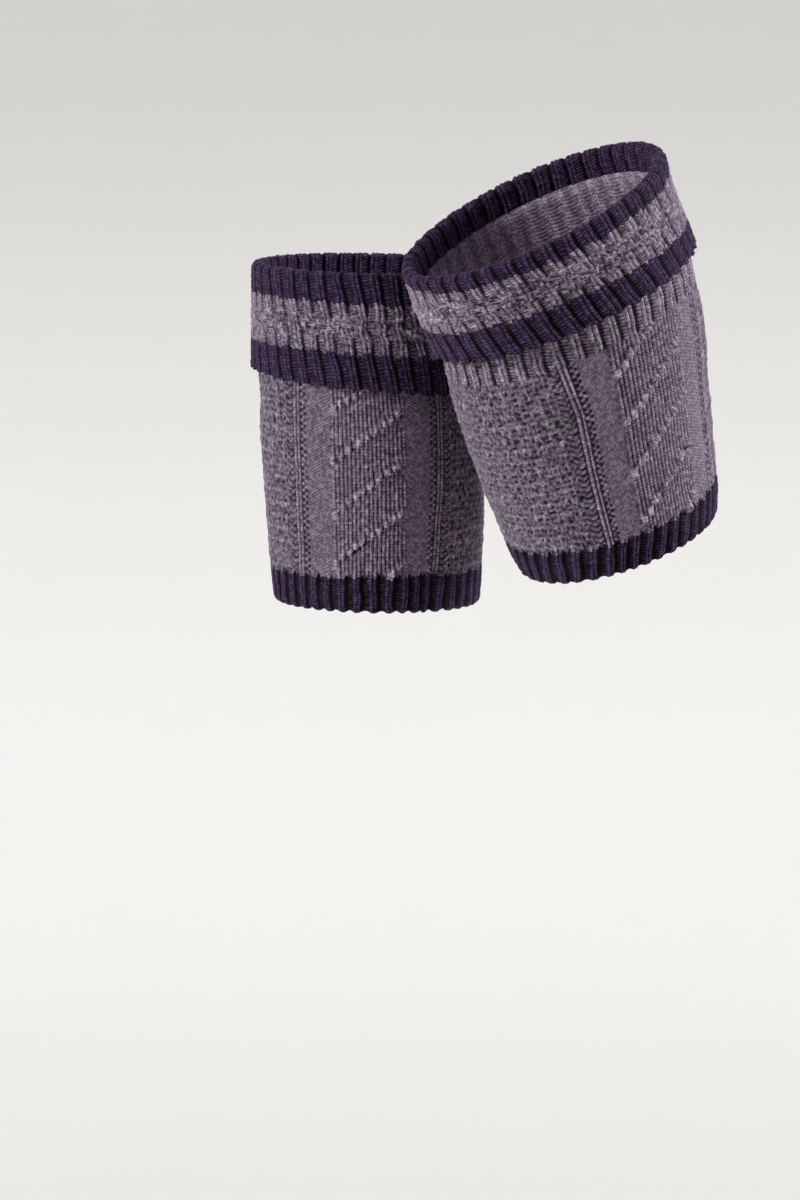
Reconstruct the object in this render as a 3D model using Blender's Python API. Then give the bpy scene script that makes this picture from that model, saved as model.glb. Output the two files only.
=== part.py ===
# Pair of knitted calf warmers, worn and hollow, the right one leaning across in front of the left one.
# Each one is a tube knitted in the round: a ribbed hem, a patterned leg, a ribbed top that goes up inside,
# and a cuff folded down over it in three stripes. Sizes are millimetres, until to_world() makes them metres.
import bmesh
import bpy
from collections import namedtuple
from math import cos, pi, radians, sin, tan
from mathutils import Matrix, Vector

METRES_PER_MM = 0.001

# Driving sizes of the knitting
GRIP_HEIGHT = 95.0         # the calf holds the tube here, above the hem; the world origin is on the left axis
SEAM_GAP = 0.3             # between two pieces that are knitted on to each other
RIB_COUNT = 42             # 2 x 2 ribs round the tube: 168 stitches
RIB_RIDGE = 0.17           # a rib's flat top reaches this share of a rib either side of its middle
RIB_DEPTH = 0.9            # how far the purl groove lies below the rib's top
WALL = 1.9                 # thickness of the cloth under its relief
CUFF_GAP = 1.0             # air between the cuff and the tube that it is folded over
CUFF_LEAN_DEG = 13.0       # the folded cuff is twisted, so its ribs lean this far
CUFF_RADIUS = 65.0         # the cuff's mean radius, for turning that lean into an angle round the tube
FOLD_SHOULDER = 5.0        # the fold starts to round over this far below its top
FOLD_CORNER = 1.7          # half way round, the fold's corner is this far below its top
FOLD_CORNER_DEPTH = 1.2    # and has come in by this much
ROLLED_RIB_SHARE = 0.6     # share of the rib's depth that is left where the cloth bends round an edge
POCKET_TOP = 3.5           # the air between cuff and tube ends this far below the fold's top
FOLD_INSIDE = 14.0         # the navy stripe reaches this far down inside the tube
RIBBED_TOP_SWELL = 0.35    # this far up, the tube inside the cuff has taken the cuff's own shape
HEM_ROLL = 2.2             # the hem's edge is rolled in over this height
HEM_ROLL_DEPTH = 1.3       # and by this much

# The patterned leg
CABLE_HALF_DEG = 19.3      # half of the cable panel, seen from the tube's axis
CABLE_RIDGES = 9           # two stitches to a ridge
CABLE_RIDGE_RELIEF = 1.1
CABLE_FURROW_RELIEF = 0.45
CABLE_SLOPE = 0.745        # the crossings climb to the right at this slope
CABLE_PITCH = 26.6         # from one crossing up to the next
CABLE_CROSSINGS = 5        # the lowest and the highest are partly cut off by the hem and the ribbed top
ROW_SQUEEZE = 0.7          # rows that run out at the panel's ends stay this far apart
MOSS_COLUMNS = 7           # columns across each moss panel, between the patterned panels
PLAIN_RELIEF = 0.0         # reverse stocking stitch, the lowest part
MOSS_RELIEF = 0.6
INSIDE_BANDS = 3           # the plain inside of the leg is made in this many bands

Section = namedtuple("Section", "height half_side half_front shift_side")
Edge = namedtuple("Edge", "height side_tip front_tip")
Pose = namedtuple("Pose", "base lean_side_deg lean_front_deg turn_deg lowest_crossing")
Strand = namedtuple("Strand", "angle_deg relief")
CableRow = namedtuple("CableRow", "share ridge_relief furrow_relief")

# Half widths of the tube and of the cuff over it, to the tops of the ribs
SECTIONS = {
    "left": {
        "tube": [
            Section(0.0, 55.6, 52.8, 0.0),
            Section(18.0, 57.0, 54.2, -0.3),
            Section(60.0, 59.5, 56.6, -1.2),
            Section(100.0, 59.6, 56.6, -3.4),
            Section(125.0, 58.2, 55.4, -5.0),
            Section(165.0, 61.2, 58.4, -2.4),
        ],
        "cuff": [
            Section(115.0, 63.0, 60.0, -4.4),
            Section(140.0, 63.4, 60.4, -3.4),
            Section(165.0, 64.6, 61.6, -1.9),
            Section(185.0, 64.9, 61.9, -1.0),
        ],
    },
    "right": {
        "tube": [
            Section(0.0, 51.6, 53.0, 0.0),
            Section(18.0, 55.6, 55.0, 1.0),
            Section(60.0, 61.0, 57.4, 3.1),
            Section(100.0, 64.8, 58.6, 6.4),
            Section(130.0, 64.2, 58.0, 8.4),
            Section(165.0, 64.4, 58.8, 6.8),
        ],
        "cuff": [
            Section(130.0, 69.3, 62.8, 9.3),
            Section(150.0, 69.1, 62.8, 7.4),
            Section(172.0, 68.2, 62.8, 5.8),
            Section(190.0, 68.6, 63.2, 5.2),
        ],
    },
}

# Borders between the pieces: mean height, and how far each is tipped up at the side and at the back
EDGES = {
    "left": {
        "fold_top": Edge(180.5, -1.2, 5.3),
        "fold_end": Edge(163.7, -2.7, 4.7),
        "band_end": Edge(137.6, -4.1, 3.7),
        "cuff_end": Edge(120.9, -3.9, 4.2),
        "rib_end": Edge(125.5, -2.0, 2.0),
        "hem_top": Edge(19.2, 0.2, 0.0),
        "hem_end": Edge(0.4, -0.8, -0.3),
    },
    "right": {
        "fold_top": Edge(181.6, 8.3, 0.0),
        "fold_end": Edge(174.0, 7.0, 1.3),
        "band_end": Edge(148.5, 5.4, -4.1),
        "cuff_end": Edge(135.7, 8.7, -2.0),
        "rib_end": Edge(124.5, 6.0, -2.0),
        "hem_top": Edge(23.1, 1.0, -2.4),
        "hem_end": Edge(1.4, 1.2, -5.6),
    },
}

# Where each tube stands: the middle of its hem, how its top leans, how far its pattern is turned round, and
# the height of its lowest crossing in the middle of the cable
POSES = {
    "left": Pose((0.0, 0.0, 0.0), 0.0, 0.0, -4.0, 11.2),
    "right": Pose((123.9, -62.0, 39.1), 18.3, 16.7, 28.0, 13.1),
}

# The narrow columns beside the cable panel, from its edge outwards
SIDE_STRANDS = [
    Strand(26.0, PLAIN_RELIEF),
    Strand(33.0, PLAIN_RELIEF),
    Strand(35.5, 0.6),
    Strand(37.8, 0.2),
    Strand(39.6, 1.1),
    Strand(41.4, 0.4),
    Strand(43.2, 1.1),
    Strand(45.4, 0.2),
]

# One crossing of the cable, from its furrow up: bumps, then plain ridges; shares of the pitch
CABLE_ROWS = [
    CableRow(-0.06, 0.1, 0.0),
    CableRow(0.05, 1.3, 1.0),
    CableRow(0.5, CABLE_RIDGE_RELIEF, CABLE_FURROW_RELIEF),
]


def section_at(sections, height):
    """Read a table of sections at any height, on a smooth curve through its rows."""
    last = len(sections) - 2
    index = max([i for i in range(last + 1) if sections[i].height <= height], default=0)
    low, high = sections[index], sections[index + 1]
    span = high.height - low.height
    share = (height - low.height) / span
    before = sections[max(index - 1, 0)]
    after = sections[min(index + 2, last + 1)]
    values = []
    for column in range(1, len(low)):
        slope_low = (high[column] - before[column]) / (high.height - before.height) * span
        slope_high = (after[column] - low[column]) / (after.height - low.height) * span
        rise = high[column] - low[column]
        curve = slope_low + (3 * rise - 2 * slope_low - slope_high) * share
        curve += (slope_low + slope_high - 2 * rise) * share ** 2
        values.append(low[column] + curve * share)
    return Section(height, *values)


def edge_height(side, name, azimuth):
    """Height of a border at one azimuth, tipped with its ring."""
    edge = EDGES[side][name]
    return edge.height + edge.side_tip * cos(azimuth) + edge.front_tip * sin(azimuth)


def surface_point(side, layer, azimuth, height, depth):
    """A point of a tube's outer form, moved in by depth, in the tube's own frame."""
    section = section_at(SECTIONS[side][layer], height)
    across = (section.half_side - depth) * cos(azimuth) + section.shift_side
    along = (section.half_front - depth) * sin(azimuth)
    return Vector((across, along, height))


def to_world(side):
    """From a tube's own frame in millimetres to the shared frame in metres."""
    pose = POSES[side]
    base = Vector(pose.base) - Vector((0.0, 0.0, GRIP_HEIGHT))
    lean = Matrix.Rotation(-radians(pose.lean_side_deg), 4, "Y") @ Matrix.Rotation(
        radians(pose.lean_front_deg), 4, "X")
    return Matrix.Scale(METRES_PER_MM, 4) @ Matrix.Translation(base) @ lean


def rib_columns(side):
    """Azimuth and depth of the three columns of each rib: two on its top and one in the groove."""
    columns = []
    for rib in range(RIB_COUNT):
        for place, depth in ((-RIB_RIDGE, 0.0), (RIB_RIDGE, 0.0), (0.5, RIB_DEPTH)):
            azimuth = 2 * pi * (rib + place) / RIB_COUNT + radians(POSES[side].turn_deg)
            columns.append((azimuth, depth))
    return columns


def plain_columns(side):
    """One column for each rib, for the plain inside of a ribbed wall."""
    return [(2 * pi * rib / RIB_COUNT + radians(POSES[side].turn_deg), 0.0) for rib in range(RIB_COUNT)]


def cuff_turn(height_below_fold):
    """How far round the twisted cuff's ribs have moved at this distance below the fold."""
    return tan(radians(CUFF_LEAN_DEG)) * height_below_fold / CUFF_RADIUS


def ring(side, layer, columns, height_of, depth, relief_share=1.0, twisted=False):
    """One ring of points; height_of gives the height at each azimuth."""
    points = []
    for azimuth, groove in columns:
        height = height_of(azimuth)
        if twisted:
            azimuth += cuff_turn(edge_height(side, "fold_top", azimuth) - height)
            height = height_of(azimuth)
        points.append(surface_point(side, layer, azimuth, height, depth + groove * relief_share))
    return points


def border(side, name, offset=0.0):
    """A height function that follows one border, moved up by offset."""
    return lambda azimuth: edge_height(side, name, azimuth) + offset


def between(side, low, high, share, offset=0.0):
    """A height function part of the way from one border to another, moved up by offset."""
    return lambda azimuth: (edge_height(side, low, azimuth) * (1 - share)
                            + edge_height(side, high, azimuth) * share + offset)


def join_rings(bm, long_ring, short_ring):
    """Faces between two rings; the long one has a whole number of points for each of the short one's."""
    if len(long_ring) < len(short_ring):
        long_ring, short_ring = short_ring, long_ring
    ratio = len(long_ring) // len(short_ring)
    for j, near in enumerate(short_ring):
        following = short_ring[(j + 1) % len(short_ring)]
        fan = [long_ring[(j * ratio + k) % len(long_ring)] for k in range(ratio + 1)]
        for k in range(ratio - 1):
            bm.faces.new((fan[k], fan[k + 1], near))
        bm.faces.new((fan[-2], fan[-1], following, near))


def closed_wall(name, side, rings, material):
    """Join rings into one closed wall, the last ring back to the first."""
    bm = bmesh.new()
    loops = [[bm.verts.new(point) for point in points] for points in rings]
    for i in range(len(loops)):
        join_rings(bm, loops[i - 1], loops[i])
    bmesh.ops.recalc_face_normals(bm, faces=bm.faces)
    bm.transform(to_world(side))
    mesh = bpy.data.meshes.new(name)
    bm.to_mesh(mesh)
    bm.free()
    mesh.shade_smooth()
    mesh.materials.append(material)
    piece = bpy.data.objects.new(name, mesh)
    bpy.context.collection.objects.link(piece)
    return piece


def knit_material(name, colour, roughness):
    """Wool in one colour."""
    material = bpy.data.materials.new(name)
    material.use_nodes = True
    shader = material.node_tree.nodes["Principled BSDF"]
    shader.inputs["Base Color"].default_value = (*colour, 1.0)
    shader.inputs["Roughness"].default_value = roughness
    shader.inputs["Metallic"].default_value = 0.0
    return material


def cuff_stripe(name, side, low, high, material):
    """A ribbed stripe of the cuff between two borders: ribs outside, plain inside."""
    ribs, plain = rib_columns(side), plain_columns(side)
    inner = RIB_DEPTH + WALL
    bottom, top = border(side, low, SEAM_GAP / 2), border(side, high, -SEAM_GAP / 2)
    return closed_wall(name, side, [
        ring(side, "cuff", ribs, bottom, 0.0, twisted=True),
        ring(side, "cuff", ribs, top, 0.0, twisted=True),
        ring(side, "cuff", plain, top, inner, twisted=True),
        ring(side, "cuff", plain, bottom, inner, twisted=True),
    ], material)


def hem(side, material):
    """The ribbed hem, its edge rolled in a little."""
    ribs, plain = rib_columns(side), plain_columns(side)
    inner = RIB_DEPTH + WALL
    bottom, roll = border(side, "hem_end"), border(side, "hem_end", HEM_ROLL)
    top = border(side, "hem_top", -SEAM_GAP / 2)
    return closed_wall(side + "_hem", side, [
        ring(side, "tube", ribs, bottom, HEM_ROLL_DEPTH, ROLLED_RIB_SHARE),
        ring(side, "tube", ribs, roll, 0.0),
        ring(side, "tube", ribs, top, 0.0),
        ring(side, "tube", plain, top, inner),
        ring(side, "tube", plain, bottom, inner + HEM_ROLL_DEPTH / 2),
    ], material)


def cuff_fold(side, material):
    """The cuff's top stripe: down the outside, over the fold, and a little way down the inside."""
    ribs, plain = rib_columns(side), plain_columns(side)
    wall = RIB_DEPTH + WALL
    inside = 2 * wall + CUFF_GAP
    bottom = border(side, "fold_end", SEAM_GAP / 2)
    shoulder = border(side, "fold_top", -FOLD_SHOULDER)
    corner = border(side, "fold_top", -FOLD_CORNER)
    crown = border(side, "fold_top")
    pocket = border(side, "fold_top", -POCKET_TOP)
    end = border(side, "fold_top", -FOLD_INSIDE)
    return closed_wall(side + "_cuff_fold", side, [
        ring(side, "cuff", ribs, bottom, 0.0, twisted=True),
        ring(side, "cuff", ribs, shoulder, 0.0, twisted=True),
        ring(side, "cuff", ribs, corner, FOLD_CORNER_DEPTH, ROLLED_RIB_SHARE, twisted=True),
        ring(side, "cuff", plain, crown, inside / 2),
        ring(side, "cuff", plain, corner, inside - FOLD_CORNER_DEPTH),
        ring(side, "cuff", plain, shoulder, inside),
        ring(side, "cuff", plain, end, inside),
        ring(side, "cuff", plain, end, wall + CUFF_GAP),
        ring(side, "cuff", plain, pocket, wall + CUFF_GAP),
        ring(side, "cuff", plain, pocket, wall),
        ring(side, "cuff", plain, bottom, wall, twisted=True),
    ], material)


def ribbed_top(side, material):
    """The ribbed top of the tube, mostly inside the cuff, up to the end of the folded stripe."""
    ribs, plain = rib_columns(side), plain_columns(side)
    wall = RIB_DEPTH + WALL
    bottom = border(side, "rib_end", SEAM_GAP / 2)
    middle = between(side, "rib_end", "fold_top", RIBBED_TOP_SWELL)
    top = border(side, "fold_top", -FOLD_INSIDE - SEAM_GAP)
    outer, inner = wall + CUFF_GAP, 2 * wall + CUFF_GAP
    return closed_wall(side + "_ribbed_top", side, [
        ring(side, "tube", ribs, bottom, 0.0),
        ring(side, "cuff", ribs, middle, outer),
        ring(side, "cuff", ribs, top, outer),
        ring(side, "cuff", plain, top, inner),
        ring(side, "cuff", plain, middle, inner),
        ring(side, "tube", plain, bottom, wall),
    ], material)


def leg_columns():
    """Azimuths round the leg, from the middle of one cable panel, with what each column carries."""
    columns = []
    step = CABLE_HALF_DEG / CABLE_RIDGES
    moss_start = SIDE_STRANDS[-1].angle_deg
    moss_step = (180.0 - 2 * moss_start) / (MOSS_COLUMNS + 1)
    for half_turn in (0.0, 180.0):
        for strand in reversed(SIDE_STRANDS):
            columns.append((half_turn - strand.angle_deg, "strand", strand.relief))
        for k in range(-CABLE_RIDGES, CABLE_RIDGES + 1):
            columns.append((half_turn + k * step, "ridge" if k % 2 == 0 else "furrow", 0.0))
        for strand in SIDE_STRANDS:
            columns.append((half_turn + strand.angle_deg, "strand", strand.relief))
        for k in range(MOSS_COLUMNS):
            columns.append((half_turn + moss_start + (k + 1) * moss_step, "moss", MOSS_RELIEF))
    return columns


def leg_row(side, columns, index):
    """One ring of the patterned leg; in a cable panel it follows a crossing up to the right."""
    last = CABLE_CROSSINGS * len(CABLE_ROWS) + 1
    crossing, row = divmod(index - 1, len(CABLE_ROWS))
    crosses = 0 < index < last
    cable_row = CABLE_ROWS[row if crosses else -1]
    points = []
    for angle, kind, relief in columns:
        azimuth = radians(angle + POSES[side].turn_deg - 90.0)
        low = edge_height(side, "hem_top", azimuth) + SEAM_GAP / 2
        high = edge_height(side, "rib_end", azimuth) - SEAM_GAP / 2
        height = low + (high - low) * index / last
        if kind in ("ridge", "furrow"):
            relief = cable_row.ridge_relief if kind == "ridge" else cable_row.furrow_relief
            if crosses:
                from_middle = (angle + 90.0) % 180.0 - 90.0
                radius = section_at(SECTIONS[side]["tube"], height).half_side
                height = POSES[side].lowest_crossing + CABLE_PITCH * (crossing + cable_row.share)
                height += CABLE_SLOPE * radius * radians(from_middle)
                height = max(height, low + ROW_SQUEEZE * index)
                height = min(height, high - ROW_SQUEEZE * (last - index))
        depth = CABLE_RIDGE_RELIEF - relief
        points.append(surface_point(side, "tube", azimuth, height, depth))
    return points


def leg(side, material):
    """The patterned grey leg: two cable panels opposite each other, moss stitch between them."""
    columns = leg_columns()
    inside_columns = [(radians(angle + POSES[side].turn_deg - 90.0), 0.0) for angle, _, _ in columns[::2]]
    inner = CABLE_RIDGE_RELIEF + WALL
    rings = [leg_row(side, columns, index) for index in range(CABLE_CROSSINGS * len(CABLE_ROWS) + 2)]
    for band in range(INSIDE_BANDS + 1):
        share = 1.0 - band / INSIDE_BANDS
        height_of = between(side, "hem_top", "rib_end", share, SEAM_GAP / 2 - SEAM_GAP * share)
        rings.append(ring(side, "tube", inside_columns, height_of, inner))
    return closed_wall(side + "_leg", side, rings, material)


def calf_warmer(side, navy, grey):
    """All the pieces of one calf warmer, from the fold down."""
    cuff_fold(side, navy)
    cuff_stripe(side + "_cuff_band", side, "band_end", "fold_end", grey)
    cuff_stripe(side + "_cuff_edge", side, "cuff_end", "band_end", navy)
    ribbed_top(side, grey)
    leg(side, grey)
    hem(side, navy)


def main():
    for old in list(bpy.data.objects):
        bpy.data.objects.remove(old)
    navy = knit_material("navy_wool_rib", (0.034, 0.022, 0.047), 0.9)
    grey = knit_material("grey_marl_wool", (0.15, 0.122, 0.162), 0.9)
    for side in POSES:
        calf_warmer(side, navy, grey)


main()
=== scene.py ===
from math import pi, radians, tan

import bmesh
import bpy
import numpy as np
from mathutils import Matrix, Vector


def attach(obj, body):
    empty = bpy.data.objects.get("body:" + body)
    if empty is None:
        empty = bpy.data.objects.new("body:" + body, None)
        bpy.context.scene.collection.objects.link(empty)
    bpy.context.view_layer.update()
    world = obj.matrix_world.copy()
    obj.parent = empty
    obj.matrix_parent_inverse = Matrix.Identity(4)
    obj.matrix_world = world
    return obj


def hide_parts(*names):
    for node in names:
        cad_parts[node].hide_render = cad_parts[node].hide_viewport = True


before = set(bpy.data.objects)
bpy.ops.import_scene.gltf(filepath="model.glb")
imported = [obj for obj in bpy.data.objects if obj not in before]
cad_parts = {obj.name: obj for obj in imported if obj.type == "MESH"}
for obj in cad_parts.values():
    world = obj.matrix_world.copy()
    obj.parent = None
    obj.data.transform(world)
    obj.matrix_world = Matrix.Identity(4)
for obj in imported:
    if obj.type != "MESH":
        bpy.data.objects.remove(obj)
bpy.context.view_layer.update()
print("frame loaded,", len(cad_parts), "nodes")

# A pair of knitted calf warmers: ribbed hem, patterned leg, ribbed top, and a striped cuff folded down over
# it. Sizes are millimetres until a piece is placed in the frame. A wale is a column of stitches.
# u counts wales round a tube, and v counts rows: up the tube, or along the cuff from inside its fold.
gauge = {
    "wales": 168,          # stitches round a tube: 42 ribs of two knit and two purl
    "ribWales": 4,
    "frontWale": 42,       # the middle of the front cable panel, which has its like on the opposite side
    "waleWidth": 2.22,
    "rowHeight": 1.65,
    "points": 3,           # mesh points to a stitch, both ways
}

forms = {
    "left": {
        # height, half width at the side, half width at the front, shift to the side
        "tube": [(0, 55.6, 52.8, 0), (18, 57, 54.2, -0.3), (60, 59.5, 56.6, -1.2),
                 (100, 59.6, 56.6, -3.4), (125, 58.2, 55.4, -5), (165, 61.2, 58.4, -2.4)],
        "cuff": [(115, 63, 60, -4.4), (140, 63.4, 60.4, -3.4),
                 (165, 64.6, 61.6, -1.9), (185, 64.9, 61.9, -1)],
        # border between two pieces: height, tipped up at the side, tipped up at the back
        "hemEnd": (0.4, -0.8, -0.3), "hemTop": (19.2, 0.2, 0), "ribEnd": (125.5, -2, 2),
        "foldTop": (180.5, -1.2, 5.3), "foldEnd": (163.7, -2.7, 4.7), "bandEnd": (137.6, -4.1, 3.7),
        "cuffEnd": (120.2, -6.4, 4.2),
        "base": (0, 0, 0), "leanSide": 0, "leanFront": 0, "turn": -4,   # degrees
        "foldRows": 21, "bandRows": 16, "edgeRows": 10,
        "foldFlat": 0.034,     # metres of the fold piece that show, from end to end
        "seed": 11,
    },
    "right": {
        "tube": [(0, 51.6, 53, 0), (18, 55.6, 55, 1), (60, 61, 57.4, 3.1),
                 (100, 64.8, 58.6, 6.4), (130, 64.2, 58, 8.4), (165, 64.4, 58.8, 6.8)],
        "cuff": [(130, 69.3, 62.8, 9.3), (150, 69.1, 62.8, 7.4),
                 (172, 68.2, 62.8, 5.8), (190, 68.6, 63.2, 5.2)],
        "hemEnd": (2.4, 1.2, -5.6), "hemTop": (23.1, 1, -2.4), "ribEnd": (124.5, 6, -2),
        "foldTop": (181.6, 8.3, 0), "foldEnd": (174, 7, 1.3), "bandEnd": (148.5, 5.4, -4.1),
        "cuffEnd": (135.2, 6.7, -2),
        "base": (123.9, -62, 39.1), "leanSide": 18.3, "leanFront": 16.7, "turn": 28,
        "foldRows": 16, "bandRows": 16, "edgeRows": 9,
        "foldFlat": 0.026,
        "seed": 23,
    },
}

build = {
    "gripHeight": 95,      # the frame's origin is this far up the left tube
    "wall": 2.8,           # cloth with its ribs
    "legWall": 3.0,
    "innerRib": 0.25,      # relief of the ribs on the inner side
    "cuffGap": 1.0,        # from the cuff to the tube inside it
    "cuffLean": 13,        # degrees that the folded cuff's ribs lean, on a cuff of this radius
    "cuffRadius": 65,
    "foldRadius": 3.3,
    "foldInside": 14,      # the cuff goes down this far inside the fold, to the ribbed top
    "swell": 0.35,         # this share of the way from the leg up to the fold, the tube has the cuff's shape
    "hemRoll": 2.2,        # the hem's edge rolls in over this height
    "hemRollDepth": 1.3,
    "hemRollMost": 1.3,    # where a stitch dips below the edge, the roll grows up to this share
    "hemRows": 12, "legRows": 64, "topRows": 24,
    "weldDistance": 2e-6,  # metres
}

# Every random draw has its own seed: the side's, and this much more
draws = {
    "tubeYarn": 0, "hemBorder": 1, "cuffChart": 2, "foldBorder": 3, "bandBorder": 4, "nubs": 5, "cuffYarn": 6,
    "crumpleAcross": 7, "crumpleUp": 8, "crumpleDepth": 9, "moss": 15, "curlAcross": 16, "curlUp": 17,
    "cableFurrows": 18, "tubeTone": 19, "cuffTone": 20, "pearlPits": 21, "tubeFurrows": 22, "tubeWander": 23,
    "cuffWander": 24, "cuffFurrows": 25, "mossLumps": 26,
}

# Soft troughs and ridges, listed: azimuth, height, half width in degrees, half height, slant, depth
creases = {
    "left": [(-150, 70, 16, 9, 0.10, 0.7), (-118, 34, 20, 7, -0.06, 0.5), (-60, 46, 18, 8, 0.08, 0.6),
             (-35, 96, 22, 9, -0.10, 0.8), (-88, 100, 26, 8, 0.04, -0.5), (20, 60, 24, 8, 0.06, 0.7),
             (58, 104, 20, 10, -0.08, 0.9), (75, 32, 26, 7, 0.05, 0.5), (112, 78, 22, 9, 0.09, 0.8),
             (150, 44, 20, 8, -0.07, 0.7), (176, 108, 24, 9, 0.05, 0.8), (-172, 26, 18, 6, 0.06, -0.5)],
    "right": [(-140, 92, 18, 9, -0.08, 0.7), (-112, 52, 22, 8, 0.07, 0.6), (-75, 88, 20, 9, -0.05, -0.5),
              (-50, 40, 18, 8, 0.08, 0.6), (-15, 78, 22, 10, -0.09, 0.9), (22, 46, 24, 8, 0.07, 0.8),
              (60, 96, 22, 9, -0.08, 0.9), (95, 58, 24, 8, 0.06, 0.7), (130, 102, 20, 9, 0.05, 0.8),
              (160, 40, 22, 7, -0.06, 0.6), (-165, 64, 20, 8, 0.08, 0.7)],
}


def seedFor(side, draw):
    return forms[side]["seed"] + draws[draw]


def waleAzimuth(form, wale):  # the front cable panel faces the viewer, but for the form's turn
    return np.radians(form["turn"] - 90 + (wale - gauge["frontWale"]) * 360 / gauge["wales"])


def borderHeight(form, name, azimuth):
    height, side, back = form[name]
    return height + side * np.cos(azimuth) + back * np.sin(azimuth)


def readTable(table, height):  # a smooth curve through the rows of a table of sections
    table = np.array(table, float)
    index = np.clip(np.searchsorted(table[:, 0], height, side="right") - 1, 0, len(table) - 2)
    low, high = table[index], table[index + 1]
    before, after = table[np.maximum(index - 1, 0)], table[np.minimum(index + 2, len(table) - 1)]
    span = high[..., :1] - low[..., :1]
    share = (height[..., None] - low[..., :1]) / span
    slopeLow = (high - before) / (high[..., :1] - before[..., :1]) * span
    slopeHigh = (after - low) / (after[..., :1] - low[..., :1]) * span
    rise = high - low
    second = 3 * rise - 2 * slopeLow - slopeHigh
    third = slopeLow + slopeHigh - 2 * rise
    curve = slopeLow + second * share + third * share ** 2
    return np.moveaxis(low + curve * share, -1, 0)[1:]


def alongMarks(row, marks, heights):  # height of a row between the borders, straight from mark to mark
    result = heights[0]
    for i in range(len(marks) - 1):
        step = (heights[i + 1] - heights[i]) / (marks[i + 1] - marks[i])
        result = np.where((row > marks[i]) | (i == 0), heights[i] + (row - marks[i]) * step, result)
    return result


def creaseDepth(side, azimuth, height):
    depth = np.zeros_like(height)
    for place, middle, halfWidth, halfHeight, slant, amount in creases[side]:
        across = (np.degrees(azimuth) - place + 180) % 360 - 180
        up = (height - middle - slant * across) / halfHeight
        depth += amount * np.exp(-(across / halfWidth) ** 2 - up ** 2)
    return depth


def tubePoints(side, wale, row, depth):  # hem, leg and ribbed top, in the tube's own frame
    form = forms[side]
    azimuth = waleAzimuth(form, wale)
    marks = np.cumsum([0, build["hemRows"], build["legRows"], build["topRows"]])
    hemEnd, hemTop, ribEnd, foldTop = (borderHeight(form, name, azimuth)
                                       for name in ("hemEnd", "hemTop", "ribEnd", "foldTop"))
    height = alongMarks(row, marks, [hemEnd, hemTop, ribEnd, foldTop - build["foldInside"]])
    tube, cuff = readTable(form["tube"], height), readTable(form["cuff"], height)
    share = np.clip((height - ribEnd) / (foldTop - ribEnd) / build["swell"], 0, 1)
    inside = build["wall"] + build["cuffGap"]
    rolled = np.clip(1 - (height - hemEnd) / build["hemRoll"], 0, build["hemRollMost"]) ** 2
    depth = depth + rolled * build["hemRollDepth"] + creaseDepth(side, azimuth, height)
    halfSide = tube[0] * (1 - share) + (cuff[0] - inside) * share
    halfFront = tube[1] * (1 - share) + (cuff[1] - inside) * share
    shift = tube[2] * (1 - share) + cuff[2] * share
    x = (halfSide - depth) * np.cos(azimuth) + shift
    y = (halfFront - depth) * np.sin(azimuth)
    return np.stack([x, y, height], -1)


def cuffPoints(side, wale, row, depth):  # from inside the tube, over the fold and down to the cuff's edge
    form, radius = forms[side], build["foldRadius"]
    azimuth = waleAzimuth(form, wale)
    marks = np.cumsum([0, form["foldRows"], form["bandRows"], form["edgeRows"]])
    start = radius * (1 - pi) - build["foldInside"]
    for _ in range(2):  # the twist depends on the height, and the borders on the twist
        top = borderHeight(form, "foldTop", azimuth)
        borders = [top - radius - borderHeight(form, name, azimuth)
                   for name in ("foldEnd", "bandEnd", "cuffEnd")]
        path = alongMarks(row, marks, [start] + borders)
        angle = np.clip(-path / radius, 0, pi)  # round the fold, from the outside
        below = np.where(path > 0, radius + path, radius - radius * np.sin(angle))
        drop = np.where(angle > pi / 2, 0, below)
        azimuth = waleAzimuth(form, wale) + tan(radians(build["cuffLean"])) * drop / build["cuffRadius"]
    below = np.where(path < -pi * radius, radius - path - pi * radius, below)
    height = top - below - depth * np.sin(angle)
    inward = radius - radius * np.cos(angle) + depth * np.cos(angle)
    cuff = readTable(form["cuff"], height)
    x = (cuff[0] - inward) * np.cos(azimuth) + cuff[2]
    y = (cuff[1] - inward) * np.sin(azimuth)
    return np.stack([x, y, height], -1)


def toFrame(side):  # from a tube's own frame in millimetres to the shared frame in metres
    form = forms[side]
    base = Vector(form["base"]) - Vector((0, 0, build["gripHeight"]))
    leanSide = Matrix.Rotation(-radians(form["leanSide"]), 4, "Y")
    leanFront = Matrix.Rotation(radians(form["leanFront"]), 4, "X")
    return Matrix.Scale(0.001, 4) @ Matrix.Translation(base) @ (leanSide @ leanFront)


def softNoise(shape, cellHigh, cellWide, seed):  # smooth, from -1 to 1, closed round the tube; in mesh points
    high, wide = shape
    cellsRound = max(int(wide / cellWide), 3)
    grid = np.random.default_rng(seed).uniform(-1, 1, (int(high / cellHigh) + 3, cellsRound))
    y, x = np.meshgrid(np.arange(high) / cellHigh, np.arange(wide) * cellsRound / wide, indexing="ij")
    low, left = y.astype(int), x.astype(int)
    up, across = y - low, x - left
    up, across = up * up * (3 - 2 * up), across * across * (3 - 2 * across)
    right = (left + 1) % cellsRound
    lower = grid[low, left] * (1 - across) + grid[low, right] * across
    upper = grid[low + 1, left] * (1 - across) + grid[low + 1, right] * across
    return lower * (1 - up) + upper * up


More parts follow.
